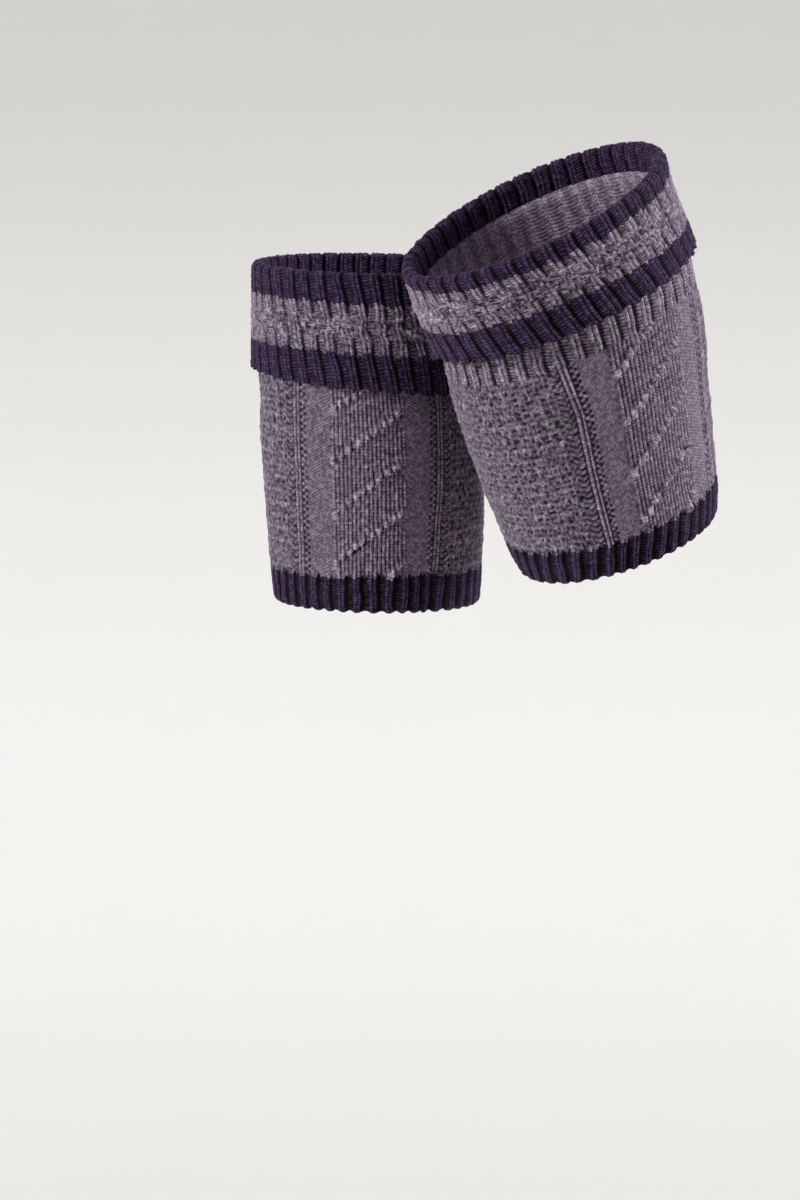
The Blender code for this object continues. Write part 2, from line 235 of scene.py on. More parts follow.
loop = {
    "radius": 0.37,        # of the yarn
    "lift": 0.42,          # how far a loop stands in front of the one that it is drawn through
    "reach": 0.95,         # rows from a loop's middle to its head
    "neck": 0.16,          # wales that a loop narrows to its neck
    "barPlace": 0.667,     # where a purl bar lies in its row, on a mesh point
    "stray": 0.08,         # hand of the knitting: yarn out of place by this share of a stitch
    "steps": 28,           # spots of yarn along a loop
    "cells": 9,            # of the height map, to a stitch both ways
    "cellReach": 3,        # cells from a spot's middle that its yarn may cover
    "spareRows": 2,        # drawn past each end and cut off again
    "noYarn": -1.0,
    "deepest": -0.6,
}


def yarnHeight(chart, seed):  # height of the yarn's loops over a chart of knit (1) and purl (-1) stitches
    cells, spare = loop["cells"], loop["spareRows"]
    chart = np.pad(chart, ((spare, spare + 1), (0, 0)), mode="edge").astype(float)
    rows, wales = chart.shape[0] - 1, chart.shape[1]
    own, above = chart[:-1], chart[1:]
    leftOf, rightOf = (own + np.roll(own, 1, 1)) / 2, (own + np.roll(own, -1, 1)) / 2
    rng = np.random.default_rng(seed)
    strayX = rng.normal(0, loop["stray"], own.shape)
    strayY = rng.normal(0, loop["stray"], own.shape)
    column, row = np.meshgrid(np.arange(wales), np.arange(rows))
    surface = np.full((rows * cells, wales * cells), loop["noYarn"])
    reach = range(-loop["cellReach"], loop["cellReach"] + 1)
    for t in np.arange(0, 1, 1 / loop["steps"]):
        across, along = np.cos(2 * pi * t) ** 2, np.sin(2 * pi * t) ** 2
        passing = above if 0.25 < t < 0.75 else leftOf if t < 0.5 else rightOf
        z = loop["lift"] * (along * own - across * passing)
        x = column + t + loop["neck"] * np.sin(4 * pi * t) + strayX * np.sin(pi * t)
        y = row + loop["barPlace"] - loop["reach"] * np.cos(2 * pi * t) + strayY * np.sin(pi * t)
        cellX, cellY = np.floor(x * cells).astype(int), np.floor(y * cells).astype(int)
        for offY in reach:
            dy = ((cellY + offY + 0.5) / cells - y) * gauge["rowHeight"]
            iy = np.clip(cellY + offY, 0, rows * cells - 1)
            for offX in reach:
                dx = ((cellX + offX + 0.5) / cells - x) * gauge["waleWidth"]
                ix = (cellX + offX) % (wales * cells)
                inYarn = loop["radius"] ** 2 - dx ** 2 - dy ** 2
                here = np.where(inYarn > 0, z + np.sqrt(np.maximum(inYarn, 0)), loop["noYarn"])
                surface[iy, ix] = np.maximum(surface[iy, ix], here)
    surface = surface[spare * cells - 1:(rows - spare) * cells + 1]
    surface = (surface[:-1] + surface[1:]) / 2
    surface = (surface + np.roll(surface, 1, 1)) / 2
    step = cells // gauge["points"]
    return np.maximum(surface, loop["deepest"])[::step, ::step]


def ribChart(rows, knitWales):
    wale = np.arange(gauge["wales"]) % gauge["ribWales"]
    return np.tile(np.where(np.isin(wale, knitWales), 1, -1), (rows, 1))


def mossChart():  # double moss stitch: one knit, one purl, moved over after every two rows
    row, wale = np.meshgrid(np.arange(build["legRows"]), np.arange(gauge["wales"]), indexing="ij")
    return np.where((wale + row // 2) % 2 == 0, 1, -1)


def fromPanel(wale):  # wales from the middle of the nearer cable panel, to the right
    half = gauge["wales"] / 2
    return (wale - gauge["frontWale"] + half / 2) % half - half / 2


def betweenWales(place):  # true on the mesh points where two wales meet
    return place % 1 < 0.5 / gauge["points"]


# Wales that the worn tube's columns are drawn aside: rows up the leg, then a value for each of the places,
# which are wales from the middle of a cable panel
pull = {
    "places": (-42, -19, -9, 9, 19, 42),
    "left": [(0, (0, 0.6, 0, 0, -2.6, 0)), (76, (0, 3, 2.2, 1.6, 1.3, 0)), (100, (0, 0, 0, 0, 0, 0))],
    "right": [(0, (-2.2, 0, -2.2, -3.6, -4.4, -2.2)), (12, (0, 2.2, 0, -1.6, -2.6, 0)),
              (57, (0, 2.2, 0, -1.6, -2.6, 0)), (77, (0, 0, 0, 0, 0, 0))],
}


def drawnAside(side, u, v):
    c, rows = fromPanel(u), pull[side]
    result = np.interp(c, pull["places"], rows[0][1])
    for (low, _), (high, values) in zip(rows, rows[1:]):
        share = np.clip((v - low) / (high - low), 0, 1)
        result = result * (1 - share) + np.interp(c, pull["places"], values) * share
    return result


def dab(field, wale, row, wide, high, amount):  # adds one soft spot to a map of points, closed round the tube
    points, faded = gauge["points"], 2.4  # half widths to where a spot has faded away
    reachX, reachY = int(faded * wide * points) + 1, int(faded * high * points) + 1
    midX, midY = int(round(wale * points)), int(round(row * points))
    y = np.arange(max(midY - reachY, 0), min(midY + reachY + 1, field.shape[0]))
    x = np.arange(midX - reachX, midX + reachX + 1)
    if len(y):
        up = np.exp(-((y / points - row) / high) ** 2)
        across = np.exp(-((x / points - wale) / wide) ** 2)
        field[y[:, None], (x % field.shape[1])[None, :]] += amount * np.outer(up, across)


ribs = {
    # relief across four wales: a knit pair, the furrow on its right, then the purl pair
    "place": [0, 0.33, 0.67, 1, 1.33, 1.67, 2, 2.33, 2.67, 3, 3.67, 4],
    "soft": [0.0, 0.5, 0.5, -0.2, 0.5, 0.4, -0.4, -0.9, -0.2, 0.1, 0.15, 0.0],
    "deep": [-0.1, 0.5, 0.5, -0.1, 0.5, 0.25, -0.65, -1.05, -0.9, -0.5, -0.15, -0.1],   # the hem, drawn in
    "purlMiddle": 3.1, "purlReach": 1.3,   # where the purl bars lie, in the same wales
    "rung": 0.36,          # relief of the purl bars
    "rungSlant": 0.4,      # rows that they climb in a wale
    "bead": 0.07,          # relief of the knit loops
    "furrow": 0.9, "furrowSpread": 0.45,   # no two furrows are alike
    "furrowCell": (16, 12),                # mesh points up and round, as in every cell below
    "wander": 0.3,         # wales that a rib strays to either side
    "wanderCell": (14, 9),
    "below": {"left": 0, "right": 3},      # rows of the leg that still look ribbed, under the ribbed top
    "hemWave": 0.5,        # rows that the hem's edge dips at each knit pair
    "cuffWave": 0.4,       # and the cuff's
    "waveReach": 2,        # rows from the edge in which the wave fades
}


def ribWave(u, middle):  # 1 in the middle of a knit pair, -1 in the middle of a purl pair
    return np.cos(2 * pi * (u - middle) / gauge["ribWales"])


def ribSlant(u, firstKnit):  # rows that the purl bars have climbed, across a rib
    return ribs["rungSlant"] * np.maximum((u - firstKnit) % gauge["ribWales"] - 2, 0)


def ribRelief(u, v, profile, firstKnit, seed):
    place = (u - firstKnit) % gauge["ribWales"]
    purl = np.clip(ribs["purlReach"] - np.abs(place - ribs["purlMiddle"]), 0, 1)
    rungs = ribs["rung"] * purl * np.cos(2 * pi * (v + ribSlant(u, firstKnit)))
    height = np.interp(place, ribs["place"], ribs[profile])
    furrow = ribs["furrow"] + ribs["furrowSpread"] * softNoise(u.shape, *ribs["furrowCell"], seed)
    height = np.where(height < 0, height * furrow, height)
    return height + rungs + ribs["bead"] * (1 - purl) * np.cos(2 * pi * v)


cable = {
    "halfWidth": 9,        # wales
    "lowest": 11.2,        # rows up the leg to the lowest crossing, in the middle of the panel
    "pitch": 16,
    "slope": 1.0,          # rows up for each wale to the right
    "crossings": range(-1, 5),   # counted from the lowest, with those that the panel's corners still catch
    "hook": 0.5,           # wales that the ridges bend over just above a crossing
    "hookRows": 2.6,
    "hookShare": 0.65,     # of it in the middle of the panel
    "hookGain": 12,        # wales to the right in which this share grows by one
    "hookLeast": 0.2,
    "hookMargin": 0.2, "hookFade": 1.2,    # wales at the panel's sides without it, and then to all of it
    "nubSpan": (-8.2, 8.4), "nubEvery": 1.7,   # wales from the middle, and between two nubs
    "nubAbove": 0.5,       # rows above the crossing
    "nubStray": (0.25, 0.3),               # wales and rows out of place
    "nubSize": (0.65, 1.1),                # least and most share of its relief
    "nub": {"left": 1.7, "right": 2.7},    # relief of a nub, which the painted shade also lightens to a painted highlight
    "nubSpot": (0.55, 0.95),               # half its width and height
    "pit": {"left": 0.9, "right": 0.35},   # the pit beside it, sunk and darkened with painted shade
    "pitSpot": (0.35, 0.8),
    "pitFrom": (0.85, 0.3),                # wales to the right of the nub, rows above it
    # the lowest crossing gapes left of its middle: relief, rows below it, half height, wales, half width
    "gape": (0.8, 0.5, 0.55, -2.6, 2.6),
    "ridge": 0.29, "ridgePlace": [0, 0.33, 0.67, 1], "ridgeShape": [-1, 1, 1, -1],
    "furrowSpread": 0.35, "furrowCell": (9, 1.5),   # some furrows between the ridges are deeper
    # a notch in the panel's side at each end of a crossing: wales deep, rows above it, half its height
    "notches": {-1: (1.4, 0.3, 2.2), 1: (2.0, -3.4, 2.6)},
    "arch": 1.2,           # rows that the plain strip climbs to the cable
    "archEnds": 6,         # rows over which it starts and ends
}

columns = {  # between the cable and the moss stitch, at wales from the middle of the cable
    "pearlFrom": 16, "twinFrom": 18, "chevronFrom": 20, "mossFrom": 22,
    "plainUp": 0.13, "plainLines": 0.05,   # fine lines that fall away from the cable
    "plainSlant": 0.5,     # rows to a wale
    # pearl stitches: one up, one down, turned about in the next wale
    "pearl": 0.25, "pearlPit": 0.8, "pitHalf": 0.5, "pitDepth": 0.9, "pitSpread": 0.5, "pitCell": (4, 3),
    "pitSide": 0.5,        # share of a pit's depth that is left where two wales meet
    "twinPlace": [18, 18.33, 18.67, 19, 19.33, 19.67, 20],
    "twin": [-0.5, 0.45, 0.35, -0.4, 0.35, 0.45, -0.5],
    "chevron": 0.28, "chevronSink": 0.05,
    # how far each column stands up, from the plain strip out to the moss stitch
    "levelPlace": [15.6, 16.2, 17.8, 18.2, 19.8, 20.2, 21.8, 22.4],
    "level": [0, 0.2, 0.2, 0.4, 0.4, 0.15, 0.15, 0.25],
    "panelUp": 0.12, "plainDown": 0.35,    # and this more on the cable panel, or less off it
}

moss = {
    "repeatWales": 2, "repeatRows": 4,
    # a knob and two pairs of holes in each repeat: wales across, rows up, half width, half height, relief
    "spots": [(0.5, 1.9, 0.7, 1.1, 0.45),
              (0.0, 0.9, 0.33, 0.6, -0.85), (1.0, 0.9, 0.33, 0.6, -0.85),
              (0.5, 2.9, 0.33, 0.6, -0.78), (1.5, 2.9, 0.33, 0.6, -0.78)],
    "scatter": (0.22, 0.33),   # wales and rows that each may be out of place
    "strength": (0.4, 1.35),   # least and most share of its relief
    "loops": 0.38, "spotsShare": 0.9, "sink": 0.02,    # how yarn loops and spots are added up
    "curl": 0.27, "curlCell": (5, 5),      # stitches that the yarn wanders
    "welt": 0.15,          # millimetres that every fourth row swells
    "lump": 0.3, "lumpCell": (6, 5),       # and any place, softly
    "down": 0.35,          # millimetres that the whole field lies back
}


def cableCover(c, v):  # 1 on the cable panel and 0 off it, with a notch at each end of a crossing
    edge = np.full_like(c, cable["halfWidth"])
    for end, (deep, above, halfHeight) in cable["notches"].items():
        fromEnd = v - cable["lowest"] - cable["slope"] * cable["halfWidth"] * end - above
        fromEnd = fromEnd - np.round(fromEnd / cable["pitch"]) * cable["pitch"]
        edge = edge - deep * np.exp(-(fromEnd / halfHeight) ** 4) * (c * end > 0)
    return np.clip((edge - np.abs(c)) * gauge["points"] + 0.5, 0, 1)


def addNubs(side, rise):  # a row of nubs lies along each crossing, where the upper ridge turns over the lower
    rng = np.random.default_rng(seedFor(side, "nubs"))
    (strayU, strayV), (pitU, pitV) = cable["nubStray"], cable["pitFrom"]
    for panel in (gauge["frontWale"], gauge["frontWale"] + gauge["wales"] // 2):
        for crossing in cable["crossings"]:
            middle = cable["lowest"] + cable["pitch"] * crossing
            for place in np.arange(*cable["nubSpan"], cable["nubEvery"]):
                at = place + rng.normal(0, strayU)
                row = middle + cable["slope"] * at + cable["nubAbove"] + rng.normal(0, strayV)
                if 0.5 < row < build["legRows"] - 0.5:
                    size = rng.uniform(*cable["nubSize"])
                    u, v = panel + at, row + build["hemRows"]
                    dab(rise, u, v, *cable["nubSpot"], cable["nub"][side] * size)
                    dab(rise, u + pitU, v + pitV, *cable["pitSpot"], -cable["pit"][side] * size)


def cableMoves(side, u, v):  # what the crossings do to the stitches: wales, rows, relief; v is from the hem
    c = fromPanel(u)
    k = np.round((v - cable["lowest"] - cable["slope"] * c) / cable["pitch"])
    above = v - cable["lowest"] - cable["slope"] * c - k * cable["pitch"]
    inside = np.clip((cable["halfWidth"] - cable["hookMargin"] - np.abs(c)) / cable["hookFade"], 0, 1)
    strength = np.clip(cable["hookShare"] + c / cable["hookGain"], cable["hookLeast"], 1)
    moveU = cable["hook"] * np.exp(-(above / cable["hookRows"]) ** 2) * (above > 0) * inside * strength
    depth, below, halfHeight, place, halfWidth = cable["gape"]
    across = np.exp(-((c - place) / halfWidth) ** 4)
    rise = -depth * np.exp(-((above + below) / halfHeight) ** 2) * (k == 0) * across
    addNubs(side, rise)
    strip = (columns["pearlFrom"] - np.abs(c)) / (columns["pearlFrom"] - cable["halfWidth"])
    ends = np.minimum(v, build["legRows"] - v) / cable["archEnds"]
    return moveU, cable["arch"] * np.clip(strip, 0, 1) * np.clip(ends, 0, 1), rise


def mossField(side, shape):  # knobs and holes of the double moss stitch
    rng = np.random.default_rng(seedFor(side, "moss"))
    field = np.zeros(shape)
    strayU, strayV = moss["scatter"]
    for wale in range(0, gauge["wales"], moss["repeatWales"]):
        if abs(fromPanel(wale + 1)) < columns["mossFrom"] + 0.5:
            continue
        for row in range(0, build["legRows"], moss["repeatRows"]):
            for across, up, wide, high, amount in moss["spots"]:
                u = wale + across + rng.normal(0, strayU)
                v = row + build["hemRows"] + up + rng.normal(0, strayV)
                if v < build["hemRows"] + build["legRows"] - 0.5:
                    dab(field, u, v, wide, high, amount * rng.uniform(*moss["strength"]))
    return field


def plainSlant(u):  # rows that the lines of a plain strip have climbed towards the cable
    away = np.abs(fromPanel(u))
    onStrip = (away > cable["halfWidth"] - 0.5) & (away < columns["pearlFrom"])
    return np.where(onStrip, columns["plainSlant"] * (away - cable["halfWidth"]), 0)


def legRelief(side, u, v, yarn):  # v is from the hem
    c = fromPanel(u)
    away = np.abs(c)
    bead = ribs["bead"] * np.cos(2 * pi * v)
    furrows = softNoise(u.shape, *cable["furrowCell"], seedFor(side, "cableFurrows"))
    ridge = cable["ridge"] * np.interp(u % 1, cable["ridgePlace"], cable["ridgeShape"])
    ridge = ridge * np.where(betweenWales(u), 1 + cable["furrowSpread"] * furrows, 1)
    onCable = cableCover(c, v)
    plain = columns["plainUp"] + columns["plainLines"] * np.cos(2 * pi * (v + plainSlant(u)))
    result = plain * (1 - onCable) + (ridge + bead) * onCable
    pit = np.exp(-(((v + np.floor(away)) % 2 - 1) / columns["pitHalf"]) ** 2)
    pit = pit * np.where(betweenWales(away), columns["pitSide"], 1)
    pits = softNoise(u.shape, *columns["pitCell"], seedFor(side, "pearlPits"))
    pearl = columns["pearl"] - columns["pearlPit"] * pit * (columns["pitDepth"] + columns["pitSpread"] * pits)
    result = np.where(away >= columns["pearlFrom"], pearl, result)
    twin = np.interp(away, columns["twinPlace"], columns["twin"]) + bead
    result = np.where(away >= columns["twinFrom"], twin, result)
    chevron = columns["chevron"] * np.cos(pi * (v - np.abs(away - columns["chevronFrom"] - 1)))
    result = np.where(away > columns["chevronFrom"], chevron - columns["chevronSink"], result)
    lumps = softNoise(u.shape, *moss["lumpCell"], seedFor(side, "mossLumps"))
    swell = moss["welt"] * np.cos(2 * pi * v / moss["repeatRows"]) + moss["lump"] * lumps - moss["down"]
    stand = columns["panelUp"] * onCable - columns["plainDown"] * (1 - onCable)
    level = np.interp(away, columns["levelPlace"], columns["level"])
    level = level + np.where(away < columns["mossFrom"], stand, swell)
    return np.where(away > columns["mossFrom"], yarn, result), level


jag = {  # rows that a colour change is stepped at each stitch
    "knitReach": 0.9, "knitFrom": -0.7,    # a V, up where two wales meet
    "purlReach": 1.4, "purlFrom": -0.4,    # a bar, up in its middle
    "uneven": 0.35,
    "fade": 1.7,           # rows to either side of the change that move with it
}


def borderJag(u, v, border, middle, seed):
    uneven = np.random.default_rng(seed).normal(0, jag["uneven"], gauge["wales"])
    tooth = np.abs(u % 1 - 0.5) * 2
    knit = jag["knitReach"] * tooth + jag["knitFrom"]
    purl = jag["purlReach"] * (1 - tooth) + jag["purlFrom"]
    step = np.where(ribWave(u, middle) > 0, knit, purl) + uneven[u.astype(int) % gauge["wales"]]
    return step * np.exp(-((v - border) / jag["fade"]) ** 2)


relief = {
    "tone": 0.13,          # one stitch stands out or falls back from the next by about this much
    "evenTone": 0.4,       # the same on the plain strips and in the moss stitch, as a share of it
    "shadeLow": -0.4, "shadeSpan": 1.25,   # relief that is wholly in shade, and from there to the yarn's top
    "lift": 0.95, "sink": 0.42,            # millimetres of lift for relief, and the whole face let in by
    "deepest": -1.7,
}


def stitchTone(shape, seed):  # the marled yarn and the uneven loops set each stitch off from the next
    points = gauge["points"]
    tone = np.random.default_rng(seed).normal(0, relief["tone"], (shape[0] // points + 1, gauge["wales"]))
    return np.repeat(np.repeat(tone, points, 0), points, 1)[:shape[0]]


def stitchGrid(rows):  # rows and wales of every mesh point
    points = gauge["points"]
    return np.meshgrid(np.arange(points * rows + 1) / points, np.arange(points * gauge["wales"]) / points,
                       indexing="ij")


def finished(points, u, v, moveU, moveV, height, level, knit, slant):  # a cloth, from which pieces are taken
    # painted shade: a point's shade, worked out from its relief, darkens the yarn in its hollows and lightens
    # it on its raised loops and nubs, as light and shade would; lift is the real relief
    shade = np.clip((height - relief["shadeLow"]) / relief["shadeSpan"], 0, 1)
    lift = np.maximum(relief["lift"] * height + level - relief["sink"], relief["deepest"])
    return {"points": points, "u": u, "v": v, "moveU": moveU, "moveV": moveV, "lift": lift,
            "shade": shade, "knit": knit, "slant": slant}


def tubeCloth(side):  # hem, leg and ribbed top in one
    hem, leg, top = build["hemRows"], build["legRows"], build["topRows"]
    firstKnit, middle = 2, 3  # the first wale of a knit pair, and where its two wales meet
    legFade, mossFade = 1.2, 1.5  # rows and wales in which the leg's stitches and the moss stitch begin
    chart = np.vstack([ribChart(hem, (2, 3)), mossChart(), ribChart(top, (2, 3))])
    v, u = stitchGrid(len(chart))
    away, shape = np.abs(fromPanel(u)), u.shape
    onLeg = np.clip(np.minimum(v - hem, hem + leg - ribs["below"][side] - v) / legFade + 0.5, 0, 1)
    onMoss = np.clip((away - columns["mossFrom"] + 0.5) / mossFade, 0, 1) * onLeg
    ribbed = ribRelief(u, v, "soft", firstKnit, seedFor(side, "tubeFurrows"))
    ribbed = np.where(v < hem + 1, ribRelief(u, v, "deep", firstKnit, seedFor(side, "tubeFurrows")), ribbed)
    moveU, moveV, rise = cableMoves(side, u, v - hem)
    yarn = moss["loops"] * yarnHeight(chart, seedFor(side, "tubeYarn"))
    yarn = yarn + moss["spotsShare"] * mossField(side, shape) - moss["sink"]
    height, level = legRelief(side, u, v - hem, yarn)
    onPlain = (away > cable["halfWidth"]) & (away < columns["pearlFrom"])
    even = np.where((away > columns["mossFrom"]) | onPlain, onLeg, 0)
    tone = stitchTone(shape, seedFor(side, "tubeTone")) * (1 - (1 - relief["evenTone"]) * even)
    height = (height + rise) * onLeg + ribbed * (1 - onLeg) + tone
    curl = moss["curl"] * onMoss
    moveU = moveU * onLeg + curl * softNoise(shape, *moss["curlCell"], seedFor(side, "curlAcross"))
    wander = softNoise(shape, *ribs["wanderCell"], seedFor(side, "tubeWander"))
    moveU = moveU + ribs["wander"] * (1 - onLeg) * wander
    moveU = moveU + drawnAside(side, u, v)
    moveV = moveV * onLeg + curl * softNoise(shape, *moss["curlCell"], seedFor(side, "curlUp"))
    moveV = moveV + borderJag(u, v, hem, middle, seedFor(side, "hemBorder"))
    moveV = moveV - ribs["hemWave"] * ribWave(u, middle) * np.exp(-(v / ribs["waveReach"]) ** 2)
    onTwin = (away > columns["twinFrom"]) & (away < columns["chevronFrom"])
    mossKnit = (u.astype(int) + (v - hem).astype(int) // 2) % 2 == 0
    knit = np.where((away < cable["halfWidth"]) | onTwin, 1, 0)
    knit = np.where(away > columns["mossFrom"], mossKnit, knit) * onLeg
    knit = knit + (ribWave(u, middle) > 0) * (1 - onLeg)
    slant = np.where(onLeg > 0.5, plainSlant(u), ribSlant(u, firstKnit))
    return finished(tubePoints, u, v, moveU, moveV, height, level * onLeg, knit, slant)


crumple = {  # along the middle of the cuff's band the ribs are lost in crumpled stitches
    "turned": 0.4,         # share of the stitches there that are turned about
    "chartHalf": 0.32, "half": 0.3,        # how far it reaches from the middle, as a share of the band's rows
    "mean": 0.85, "spread": 0.4,
    "move": 0.75, "moveCell": (7, 7),      # stitches that the yarn strays
    "loops": 1.05, "sink": 0.25,           # relief of the yarn's loops
    "lump": 0.25, "lumpCell": (9, 9),
}


def cuffCloth(side):  # fold, band and edge in one
    form = forms[side]
    fold, band, edge = form["foldRows"], form["bandRows"], form["edgeRows"]
    firstKnit, middle = 3, 0
    chart = ribChart(fold + band + edge, (3, 0))
    rng = np.random.default_rng(seedFor(side, "cuffChart"))
    row = np.arange(len(chart))
    turned = np.exp(-((row + 0.5 - fold - band * 0.5) / (band * crumple["chartHalf"])) ** 4)
    chart = np.where(rng.random(chart.shape) < crumple["turned"] * turned[:, None], -chart, chart)
    v, u = stitchGrid(len(chart))
    lumps = softNoise(v.shape, *crumple["lumpCell"], seedFor(side, "crumpleDepth"))
    crumpled = np.exp(-((v - fold - band * 0.5) / (band * crumple["half"])) ** 4)
    crumpled = np.clip(crumpled * (crumple["mean"] + crumple["spread"] * lumps), 0, 1)
    across = softNoise(v.shape, *crumple["moveCell"], seedFor(side, "crumpleAcross"))
    wander = softNoise(v.shape, *ribs["wanderCell"], seedFor(side, "cuffWander"))
    moveU = crumple["move"] * across * crumpled + ribs["wander"] * wander
    up = softNoise(v.shape, *crumple["moveCell"], seedFor(side, "crumpleUp"))
    moveV = crumple["move"] * up * crumpled
    moveV = moveV + borderJag(u, v, fold, middle, seedFor(side, "foldBorder"))
    moveV = moveV + borderJag(u, v, fold + band, middle, seedFor(side, "bandBorder"))
    fromEdge = (v - len(chart)) / ribs["waveReach"]
    moveV = moveV + ribs["cuffWave"] * ribWave(u, middle) * np.exp(-fromEdge ** 2)
    yarn = crumple["loops"] * yarnHeight(chart, seedFor(side, "cuffYarn")) - crumple["sink"]
    ribbed = ribRelief(u, v, "soft", firstKnit, seedFor(side, "cuffFurrows"))
    height = ribbed * (1 - crumpled) + (yarn + crumple["lump"] * lumps) * crumpled
    height = height + stitchTone(u.shape, seedFor(side, "cuffTone")) * (1 + crumpled)
    knit = (ribWave(u, middle) > 0) * (1 - crumpled)
    slant = ribSlant(u, firstKnit) * (crumpled < 0.5)
    return finished(cuffPoints, u, v, moveU, moveV, height, 0, knit, slant)


shell = {
    "uvRows": 100,         # rows of knitting to one unit of the UV map, which is 0 to 1 round the tube
    "innerKnit": 1,        # the middle of a knit pair on the inner side
    "innerShade": 0.6, "innerWave": 0.2,   # shade of the inner side, and how much its ribs change it
}


def clothMesh(name, place, values, rows):  # a grid whose points are put in place, line by line
    points, wales = gauge["points"], gauge["wales"]
    bm = bmesh.new()
    bm.loops.layers.uv.new("stitches")
    bmesh.ops.create_grid(bm, x_segments=wales * points, y_segments=len(place) - 1, size=1.0, calc_uvs=True)
    mesh = bpy.data.meshes.new(name)
    bm.to_mesh(mesh)
    bm.free()
    grid = np.empty(len(mesh.vertices) * 3, np.float32)
    mesh.vertices.foreach_get("co", grid)
    grid = grid.reshape(-1, 3)
    column = np.round((grid[:, 0] + 1) / 2 * wales * points).astype(int)
    line = np.round((grid[:, 1] + 1) / 2 * (len(place) - 1)).astype(int)
    around = column % (wales * points)
    mesh.vertices.foreach_set("co", place[line, around].astype(np.float32).ravel())
    for key, field in values.items():
        attribute = mesh.attributes.new(key, "FLOAT", "POINT")
        attribute.data.foreach_set("value", field[line, around].ravel())
    corner = np.empty(len(mesh.loops), np.int32)
    mesh.loops.foreach_get("vertex_index", corner)
    stitches = np.stack([column / points / wales, rows[line] / shell["uvRows"]], -1)
    mesh.uv_layers["stitches"].uv.foreach_set("vector", stitches[corner].astype(np.float32).ravel())
    return mesh


def clothPiece(name, side, cloth, firstRow, lastRow, wall, innerEvery, material):
    points = gauge["points"]
    outer = np.arange(firstRow * points, lastRow * points + 1)
    inner = np.linspace(lastRow, firstRow, max(round((lastRow - firstRow) / innerEvery), 1) + 1)
    inner = np.round(inner * points).astype(int)
    pick = np.concatenate([outer, inner, outer[:1]])  # along the outer side, back inside and to the start
    back = slice(len(outer), len(outer) + len(inner))
    u, v, lift = cloth["u"][pick], cloth["v"][pick], cloth["lift"][pick]
    innerRib = ribWave(u[back], shell["innerKnit"])
    lift[back] = -wall + build["innerRib"] * innerRib
    place = cloth["points"](side, u + cloth["moveU"][pick], v + cloth["moveV"][pick], -lift)
    values = {key: cloth[key][pick].astype(np.float32) for key in ("shade", "knit", "slant")}
    values["shade"][back] = shell["innerShade"] + shell["innerWave"] * innerRib
    values["knit"][back] = innerRib > 0
    values["slant"][back] = 0
    mesh = clothMesh(name, place, values, v[:, 0])
    bm = bmesh.new()
    bm.from_mesh(mesh)
    bm.transform(toFrame(side))
    # this closes the tube round, and over its two edges
    bmesh.ops.remove_doubles(bm, verts=bm.verts, dist=build["weldDistance"])
    if bm.calc_volume(signed=True) < 0:
        bmesh.ops.reverse_faces(bm, faces=bm.faces)
    bm.to_mesh(mesh)
    bm.free()
    mesh.shade_smooth()
    mesh.materials.append(material)
    piece = bpy.data.objects.new(name, mesh)
    bpy.context.scene.collection.objects.link(piece)
    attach(piece, "root")
    return piece


def linear(code):  # an sRGB hex colour as the linear values that a shader takes
    values = [int(code[i:i + 2], 16) / 255 for i in (1, 3, 5)]
    return [x / 12.92 if x <= 0.04045 else ((x + 0.055) / 1.055) ** 2.4 for x in values] + [1]


def addNode(tree, kind, settings=None, inputs=None):  # an input is a value or another node's socket
    new = tree.nodes.new(kind)
    for key, value in (settings or {}).items():
        setattr(new, key, value)
    for key, value in (inputs or {}).items():
        if isinstance(value, bpy.types.NodeSocket):
            tree.links.new(value, new.inputs[key])
        else:
            new.inputs[key].default_value = value
    return new


wool = {
    "fleck": 1.613,        # millimetres from one fleck of the marl to the next
    "fleckFrom": 0.4, "fleckTo": 0.6,      # the stretch of the noise over which one shade turns to the other
    "fibre": 0.3846,       # millimetres: drawn coarser than a real fibre, which would not show
    "relief": 0.0002,      # metres that fibres and loops stand out
    "fibreBump": 0.5, "loopBump": 0.6,
    "shadeFrom": 0.05, "shadeTo": 0.95,    # the stretch of the painted shade over which the dark of the hollows turns to the light of the tops
    "loopTop": 0.6,        # the wave along the rows, from here up, is the loop's top
    "sideShadeFrom": 0.3, "sideShadeTo": 0.5,        # wales from a knit wale's middle in which painted shade darkens its sides
    "roughness": 0.9, "sheenRoughness": 0.5,
}


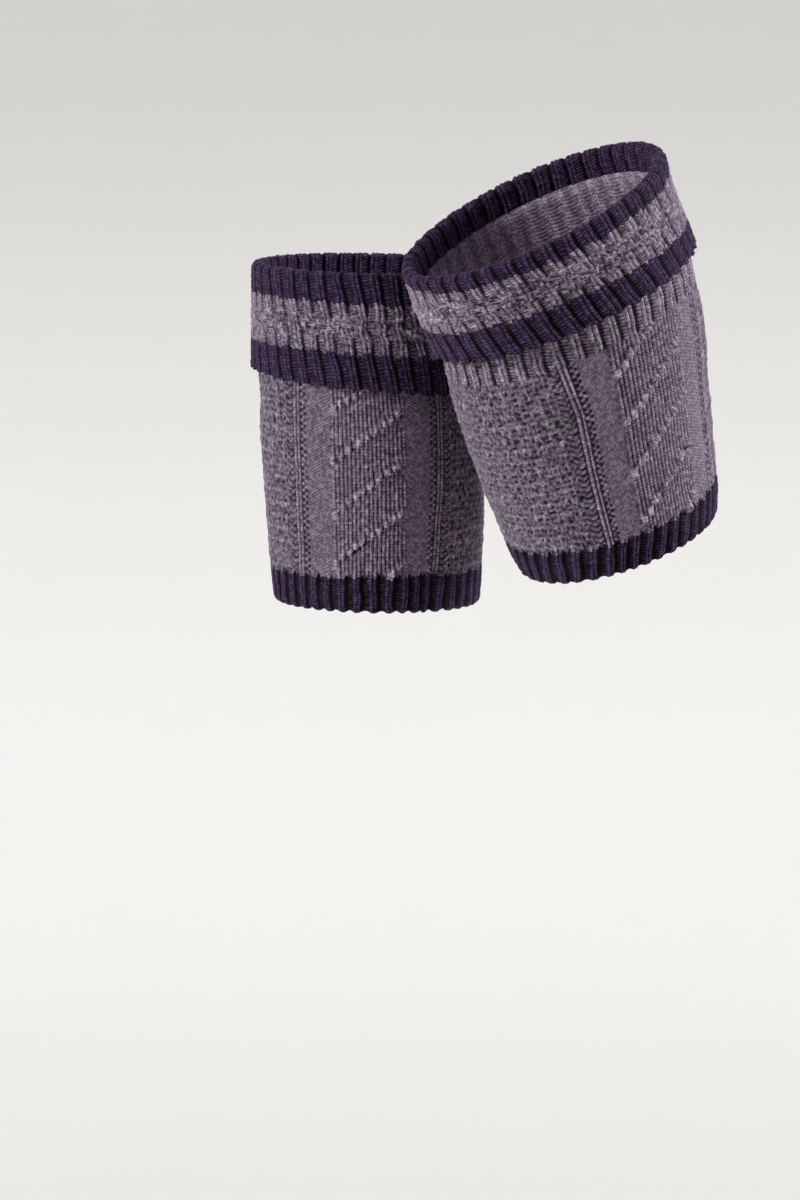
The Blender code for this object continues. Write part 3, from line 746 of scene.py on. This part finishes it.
def stitchWave(tree):  # gives a wave along the rows, and how far that is bent at a place in its wale
    # a knit stitch is a V, a purl stitch a bar: the wave bends down to the middle of a knit wale
    knit = addNode(tree, "ShaderNodeAttribute", {"attribute_name": "knit"})
    slant = addNode(tree, "ShaderNodeAttribute", {"attribute_name": "slant"})
    stitches = addNode(tree, "ShaderNodeUVMap", {"uv_map": "stitches"})
    split = addNode(tree, "ShaderNodeSeparateXYZ", inputs={"Vector": stitches.outputs["UV"]})
    wale = addNode(tree, "ShaderNodeMath", {"operation": "MULTIPLY"},
                   {0: split.outputs["X"], 1: gauge["wales"]})
    inWale = addNode(tree, "ShaderNodeMath", {"operation": "FRACT"}, {0: wale.outputs[0]})
    middle = addNode(tree, "ShaderNodeMath", {"operation": "SUBTRACT"}, {0: inWale.outputs[0], 1: 0.5})
    leg = addNode(tree, "ShaderNodeMath", {"operation": "ABSOLUTE"}, {0: middle.outputs[0]})
    bend = addNode(tree, "ShaderNodeMath", {"operation": "MULTIPLY"},
                   {0: leg.outputs[0], 1: knit.outputs["Fac"]})
    row = addNode(tree, "ShaderNodeMath", {"operation": "MULTIPLY"},
                  {0: split.outputs["Y"], 1: shell["uvRows"]})
    climb = addNode(tree, "ShaderNodeMath", {"operation": "ADD"},
                    {0: row.outputs[0], 1: slant.outputs["Fac"]})
    phase = addNode(tree, "ShaderNodeMath", {"operation": "SUBTRACT"},
                    {0: climb.outputs[0], 1: bend.outputs[0]})
    turn = addNode(tree, "ShaderNodeMath", {"operation": "MULTIPLY"}, {0: phase.outputs[0], 1: 2 * pi})
    wave = addNode(tree, "ShaderNodeMath", {"operation": "COSINE"}, {0: turn.outputs[0]})
    return wave.outputs[0], bend.outputs[0]


def woolYarn(name, look):  # carded and spun wool: matte, a soft sheen of fibres, flecked where two shades mix, and painted shade from its relief
    material = bpy.data.materials.new(name)
    material.use_nodes = True
    tree = material.node_tree
    shader = tree.nodes["Principled BSDF"]
    place = addNode(tree, "ShaderNodeTexCoord")
    # the painted shade that each point of the cloth carries, from its relief
    lift = addNode(tree, "ShaderNodeAttribute", {"attribute_name": "shade"})
    wave, bend = stitchWave(tree)
    # painted shade: the yarn is darkened between two loops, and at the sides of a knit wale, where shade
    # falls
    loops = addNode(tree, "ShaderNodeMapRange", inputs={
        "Value": wave, "From Min": -1, "From Max": wool["loopTop"], "To Min": look["between"], "To Max": 1})
    side = addNode(tree, "ShaderNodeMapRange", inputs={
        "Value": bend, "From Min": wool["sideShadeFrom"], "From Max": wool["sideShadeTo"],
        "To Min": 1, "To Max": look["between"]})
    ridge = addNode(tree, "ShaderNodeMath", {"operation": "MULTIPLY"},
                    {0: lift.outputs["Fac"], 1: side.outputs["Result"]})
    lit = addNode(tree, "ShaderNodeMath", {"operation": "MULTIPLY"},
                  {0: ridge.outputs[0], 1: loops.outputs["Result"]})
    # painted shade and highlight: from the hollow colour, near black, to the top colour, lightest on raised
    # loops and nubs
    shade = addNode(tree, "ShaderNodeValToRGB", inputs={"Fac": lit.outputs[0]})
    hollow, top = shade.color_ramp.elements
    hollow.color, top.color = linear(look["hollow"]), linear(look["top"])
    hollow.position, top.position = wool["shadeFrom"], wool["shadeTo"]
    # the marl: flecks of two shades of wool
    marl = addNode(tree, "ShaderNodeTexNoise", inputs={
        "Vector": place.outputs["Object"], "Scale": 1000 / wool["fleck"], "Detail": 2})
    mixed = addNode(tree, "ShaderNodeMapRange", inputs={
        "Value": marl.outputs["Fac"], "From Min": wool["fleckFrom"], "From Max": wool["fleckTo"]})
    fleck = addNode(tree, "ShaderNodeMix", {"data_type": "RGBA", "blend_type": "MIX"}, {
        "Factor": mixed.outputs["Result"], "A": linear(look["marlDark"]), "B": linear(look["marlLight"])})
    both = addNode(tree, "ShaderNodeMix", {"data_type": "RGBA", "blend_type": "MULTIPLY"}, {
        "Factor": 1.0, "A": shade.outputs["Color"], "B": fleck.outputs["Result"]})
    # fine relief: fibres, and over them the loops
    fibre = addNode(tree, "ShaderNodeTexNoise", inputs={
        "Vector": place.outputs["Object"], "Scale": 1000 / wool["fibre"], "Detail": 3})
    fuzz = addNode(tree, "ShaderNodeBump", inputs={
        "Height": fibre.outputs["Fac"], "Strength": wool["fibreBump"], "Distance": wool["relief"]})
    bump = addNode(tree, "ShaderNodeBump", inputs={
        "Height": wave, "Strength": wool["loopBump"], "Distance": wool["relief"],
        "Normal": fuzz.outputs["Normal"]})
    tree.links.new(both.outputs["Result"], shader.inputs["Base Color"])
    tree.links.new(bump.outputs["Normal"], shader.inputs["Normal"])
    shader.inputs["Roughness"].default_value = wool["roughness"]
    shader.inputs["Sheen Weight"].default_value = look["sheen"]
    shader.inputs["Sheen Roughness"].default_value = wool["sheenRoughness"]
    shader.inputs["Sheen Tint"].default_value = linear(look["sheenTint"])
    shader.inputs["Specular IOR Level"].default_value = look["specular"]
    return material


# the hollow colour is painted shade, near black where the yarn lies deep; the top colour is the yarn lit on
# its raised loops and nubs, a painted highlight; the third value is how far painted shade darkens the yarn
# between two loops
greyYarn = woolYarn("grey marl wool", {
    "hollow": "#120c15", "top": "#c1adc4", "between": 0.74, "marlDark": "#aea8b0", "marlLight": "#ffffff",
    "sheen": 0.25, "sheenTint": "#f4ecff", "specular": 0.25})
navyYarn = woolYarn("navy wool", {
    "hollow": "#020103", "top": "#624a73", "between": 0.5, "marlDark": "#a8a2b0", "marlLight": "#ffffff",
    "sheen": 0.12, "sheenTint": "#bcb0d8", "specular": 0.12})
print("yarns mixed")

for side in ("left", "right"):
    form = forms[side]
    tube, cuff = tubeCloth(side), cuffCloth(side)
    print(side, "stitches laid")
    hem, leg, top = np.cumsum([build["hemRows"], build["legRows"], build["topRows"]])
    fold, band, edge = np.cumsum([form["foldRows"], form["bandRows"], form["edgeRows"]])
    wall = build["wall"]
    # part, cloth, first and last row, wall, rows between points inside, yarn, flat width and length in metres
    for part, cloth, first, last, thick, every, yarn, flat in (
            ("hem", tube, 0, hem, wall, 3, navyYarn, (0.352, 0.020)),
            ("leg", tube, hem, leg, build["legWall"], 16, greyYarn, (0.368, 0.104)),
            ("ribbed_top", tube, leg, top, wall, 3, greyYarn, (0.372, 0.042)),
            ("cuff_fold", cuff, 0, fold, wall, 3, navyYarn, (0.39, form["foldFlat"])),
            ("cuff_band", cuff, fold, band, wall, 5, greyYarn, (0.395, 0.026)),
            ("cuff_edge", cuff, band, edge, wall, 5, navyYarn, (0.395, 0.016))):
        piece = clothPiece(f"{side}_{part}_knit", side, cloth, first, last, thick, every, yarn)
        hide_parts(f"{side}_{part}")
        print(piece.name, len(piece.data.polygons) * 2, "triangles")

studio = {  # metres
    "floorHeight": -1.0,
    "paperHalf": 6, "paperSegments": 60,
    "backFrom": 1.6, "bendRadius": 1.4,    # where the paper starts to curve up behind, and how gently
    "paperColour": "#d6d5d3", "paperGrain": 3.333,         # millimetres
    "domeRadius": 7, "domeColour": "#dcdbda", "domeStrength": 1.0,     # plain pale ground for the other views
    "worldColour": "#e4e4e6", "worldStrength": 0.2,
    # power, softness in degrees, the side that it comes from
    "suns": {"left light": (3.25, 16, (-1.0, -0.42, 0.5)),
             "right light": (3.65, 16, (1.0, -0.1, 0.42)),
             "front light": (0.2, 40, (0.15, -1.0, 0.35))},
}

for name, (power, softness, place) in studio["suns"].items():
    light = bpy.data.lights.new(name, "SUN")
    light.energy, light.angle = power, radians(softness)
    lamp = bpy.data.objects.new(name, light)
    bpy.context.scene.collection.objects.link(lamp)
    lamp.location = place
    lamp.rotation_euler = Vector(place).to_track_quat("Z", "Y").to_euler()


def stageObject(name, bm, material):  # a backdrop, which is no part of the pair
    mesh = bpy.data.meshes.new(name)
    bm.to_mesh(mesh)
    bm.free()
    mesh.shade_smooth()
    mesh.materials.append(material)
    backdrop = bpy.data.objects.new(name, mesh)
    bpy.context.scene.collection.objects.link(backdrop)
    return backdrop


paper = bpy.data.materials.new("matte backdrop paper")  # uncoated, with a faint tooth and no gloss
paper.use_nodes = True
paperShader = paper.node_tree.nodes["Principled BSDF"]
grain = addNode(paper.node_tree, "ShaderNodeTexCoord")
tooth = addNode(paper.node_tree, "ShaderNodeTexNoise", inputs={
    "Vector": grain.outputs["Object"], "Scale": 1000 / studio["paperGrain"]})
paperBump = addNode(paper.node_tree, "ShaderNodeBump", inputs={
    "Height": tooth.outputs["Fac"], "Strength": 0.05, "Distance": 0.0005})
paper.node_tree.links.new(paperBump.outputs["Normal"], paperShader.inputs["Normal"])
paperShader.inputs["Base Color"].default_value = linear(studio["paperColour"])
paperShader.inputs["Roughness"].default_value = 0.95

bm = bmesh.new()
bmesh.ops.create_grid(bm, x_segments=1, y_segments=studio["paperSegments"], size=studio["paperHalf"])
for vert in bm.verts:
    past = (vert.co.y - studio["backFrom"]) / studio["bendRadius"]
    if past > 0:
        turn = min(past, pi / 2)
        vert.co.y = studio["backFrom"] + studio["bendRadius"] * np.sin(turn)
        vert.co.z = studio["bendRadius"] * (1 - np.cos(turn) + past - turn)
bmesh.ops.translate(bm, verts=bm.verts, vec=(0, 0, studio["floorHeight"]))
bmesh.ops.recalc_face_normals(bm, faces=bm.faces)
stageObject("paper sweep", bm, paper)

glow = bpy.data.materials.new("lit backdrop cloth")  # evenly lit from behind, so it shows one pale tone
glow.use_nodes = True
glowShader = glow.node_tree.nodes["Principled BSDF"]
glowShader.inputs["Base Color"].default_value = linear("#000000")
glowShader.inputs["Emission Color"].default_value = linear(studio["domeColour"])
glowShader.inputs["Emission Strength"].default_value = studio["domeStrength"]

bm = bmesh.new()
bmesh.ops.create_uvsphere(bm, u_segments=48, v_segments=24, radius=studio["domeRadius"])
bmesh.ops.reverse_faces(bm, faces=bm.faces)
dome = stageObject("pale dome", bm, glow)
dome.visible_shadow = False  # it neither shades nor lights the pair
dome.visible_diffuse = False
dome.visible_glossy = False

world = bpy.data.worlds.new("studio")
world.use_nodes = True
world.node_tree.nodes["Background"].inputs["Color"].default_value = linear(studio["worldColour"])
world.node_tree.nodes["Background"].inputs["Strength"].default_value = studio["worldStrength"]
bpy.context.scene.world = world
bpy.context.scene.view_settings.view_transform = "Standard"

view = {
    "lens": 67.2, "sensor": 36,            # millimetres
    "place": (0.0124, -1.2, 0.0856),       # metres
    "lookDown": 8.5786,                    # degrees
}

lens = bpy.data.cameras.new("camera")
lens.lens, lens.sensor_width = view["lens"], view["sensor"]
camera = bpy.data.objects.new("camera", lens)
camera.location = view["place"]
camera.rotation_euler = (radians(90 - view["lookDown"]), 0, 0)
bpy.context.scene.collection.objects.link(camera)
bpy.context.scene.camera = camera
print("studio set")
